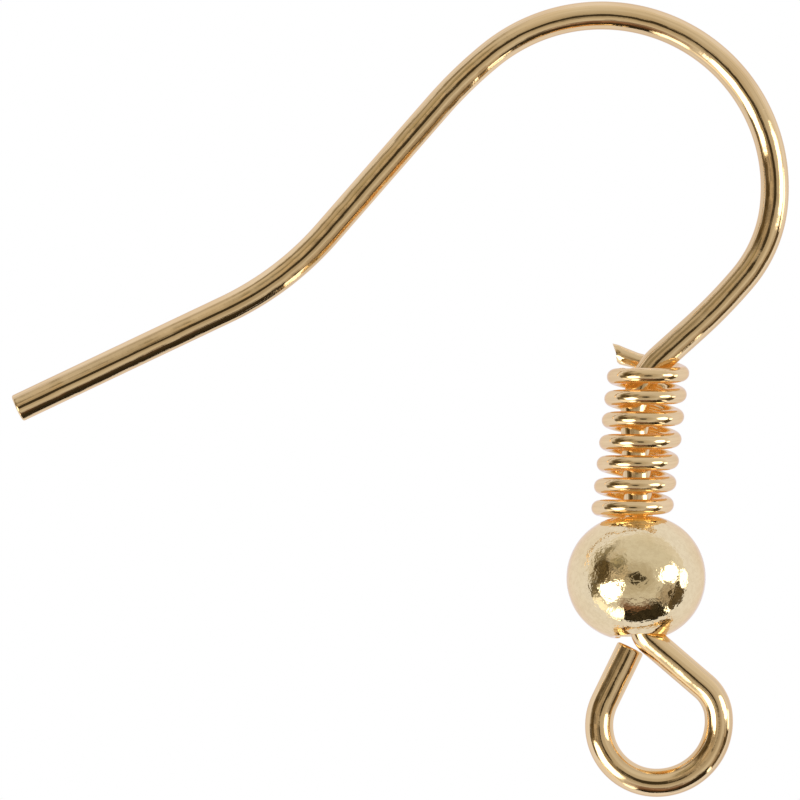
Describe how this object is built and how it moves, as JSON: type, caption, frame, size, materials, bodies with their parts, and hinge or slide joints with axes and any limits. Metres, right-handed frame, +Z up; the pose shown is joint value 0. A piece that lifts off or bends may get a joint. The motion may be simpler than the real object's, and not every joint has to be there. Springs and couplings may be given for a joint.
{
  "type": "ear wire",
  "caption": "Fish-hook ear wire in polished gold-coloured metal, with a loose wire coil and a hollow bead on its stem, and an open loop below that holds a drop",
  "frame": {"origin": "on the surface that the ear wire lies on, under the middle of its outline", "axes": "+Z up from the surface it lies on, +Y from the loop towards the arch, nearly along the stem, +X from the free tip towards the stem"},
  "size_m": [0.0176, 0.018, 0.0031],
  "materials": {
    "hook_metal": "polished",
    "coil_metal": "polished",
    "bead_metal": "polished"
  },
  "bodies": {
    "root": {"ear_hook": "hook_metal", "coil": "coil_metal", "bead": "bead_metal"}
  },
  "joints": []
}
